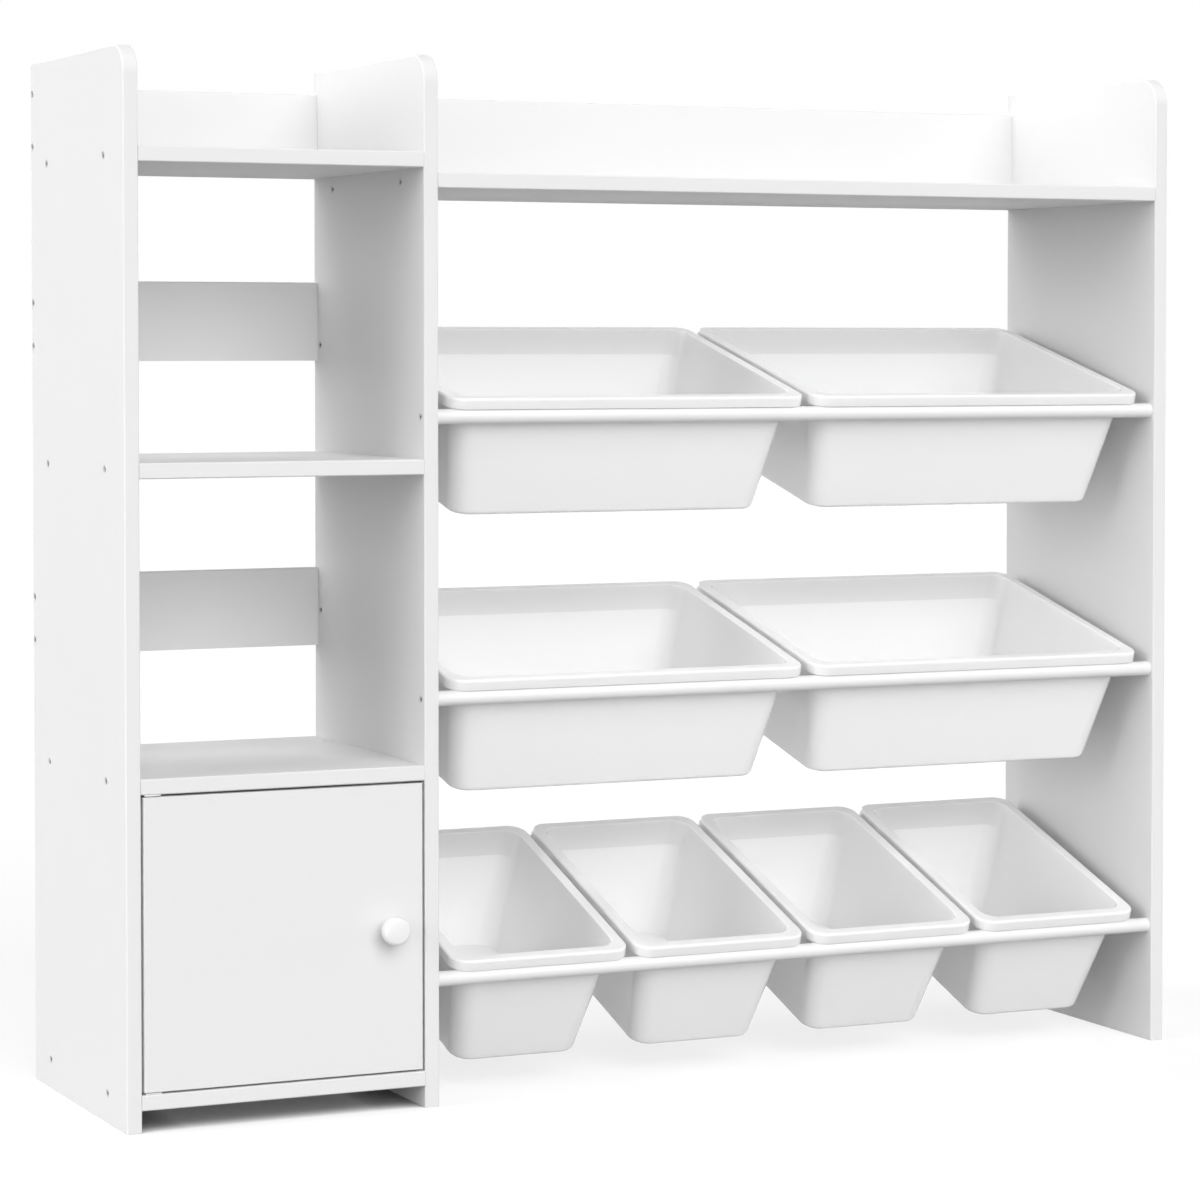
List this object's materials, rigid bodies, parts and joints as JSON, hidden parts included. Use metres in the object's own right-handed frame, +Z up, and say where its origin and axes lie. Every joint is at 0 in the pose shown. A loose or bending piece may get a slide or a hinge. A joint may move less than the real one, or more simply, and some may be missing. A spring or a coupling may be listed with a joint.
{
  "type": "toy storage organizer",
  "caption": "White toy storage organizer: a cubby tower with a hinged cabinet door beside an open bay of tilted lift-out bins that hang on round rods, with trays on top.",
  "frame": {"origin": "on the floor, under the middle of the whole piece's outer box", "axes": "+Z up, +X to the viewer's right along the piece's length, front with door and knob towards -Y"},
  "size_m": [1.155, 0.325, 1.025],
  "materials": {
    "white_board": "satin white lacquer over smooth fibreboard",
    "white_back_board": "matt white film over thin hardboard",
    "white_rod": "satin white paint over a turned rod",
    "white_bin": "moulded, soft gloss, slightly translucent white",
    "white_knob": "satin white paint",
    "plated_steel": "zinc plated",
    "white_nylon": "moulded, matt",
    "dark_magnet": "pressed ferrite, matt"
  },
  "bodies": {
    "carcass": {"left_side_panel": "white_board", "divider_panel": "white_board", "right_side_panel": "white_board", "cabinet_bottom_shelf": "white_board", "cabinet_top_shelf": "white_board", "tower_middle_shelf": "white_board", "tower_top_shelf": "white_board", "bay_top_shelf": "white_board", "tower_lower_rail": "white_board", "tower_upper_rail": "white_board", "tower_top_rail": "white_board", "bay_top_rail": "white_board", "cabinet_back_board": "white_back_board", "top_row_front_rod": "white_rod", "top_row_rear_rod": "white_rod", "middle_row_front_rod": "white_rod", "middle_row_rear_rod": "white_rod", "bottom_row_front_rod": "white_rod", "bottom_row_rear_rod": "white_rod", "lower_pivot_plate": "plated_steel", "upper_pivot_plate": "plated_steel", "catch_housing": "white_nylon", "catch_magnet": "dark_magnet"},
    "door": {"cabinet_door": "white_board", "door_knob": "white_knob", "catch_strike_plate": "plated_steel", "lower_pivot_bush": "white_nylon", "upper_pivot_bush": "white_nylon"},
    "top_row_bin_left_body": {"top_row_bin_left": "white_bin"},
    "top_row_bin_right_body": {"top_row_bin_right": "white_bin"},
    "middle_row_bin_left_body": {"middle_row_bin_left": "white_bin"},
    "middle_row_bin_right_body": {"middle_row_bin_right": "white_bin"},
    "bottom_row_bin_first_body": {"bottom_row_bin_first": "white_bin"},
    "bottom_row_bin_second_body": {"bottom_row_bin_second": "white_bin"},
    "bottom_row_bin_third_body": {"bottom_row_bin_third": "white_bin"},
    "bottom_row_bin_fourth_body": {"bottom_row_bin_fourth": "white_bin"}
  },
  "joints": [
    {"name": "door_hinge", "type": "hinge", "parent": "carcass", "child": "door", "pos_m": [-0.5508, -0.1305, 0.178], "axis": [0, 0, -1], "range_deg": [0, 110]},
    {"name": "top_row_bin_left_lift", "type": "slide", "parent": "carcass", "child": "top_row_bin_left_body", "axis": [0, -0.247, 0.969], "range_m": [0, 0.125]},
    {"name": "top_row_bin_right_lift", "type": "slide", "parent": "carcass", "child": "top_row_bin_right_body", "axis": [0, -0.247, 0.969], "range_m": [0, 0.125]},
    {"name": "middle_row_bin_left_lift", "type": "slide", "parent": "carcass", "child": "middle_row_bin_left_body", "axis": [0, -0.247, 0.969], "range_m": [0, 0.125]},
    {"name": "middle_row_bin_right_lift", "type": "slide", "parent": "carcass", "child": "middle_row_bin_right_body", "axis": [0, -0.247, 0.969], "range_m": [0, 0.125]},
    {"name": "bottom_row_bin_first_lift", "type": "slide", "parent": "carcass", "child": "bottom_row_bin_first_body", "axis": [0, -0.3206, 0.9472], "range_m": [0, 0.11]},
    {"name": "bottom_row_bin_second_lift", "type": "slide", "parent": "carcass", "child": "bottom_row_bin_second_body", "axis": [0, -0.3206, 0.9472], "range_m": [0, 0.11]},
    {"name": "bottom_row_bin_third_lift", "type": "slide", "parent": "carcass", "child": "bottom_row_bin_third_body", "axis": [0, -0.3206, 0.9472], "range_m": [0, 0.11]},
    {"name": "bottom_row_bin_fourth_lift", "type": "slide", "parent": "carcass", "child": "bottom_row_bin_fourth_body", "axis": [0, -0.3206, 0.9472], "range_m": [0, 0.11]}
  ]
}
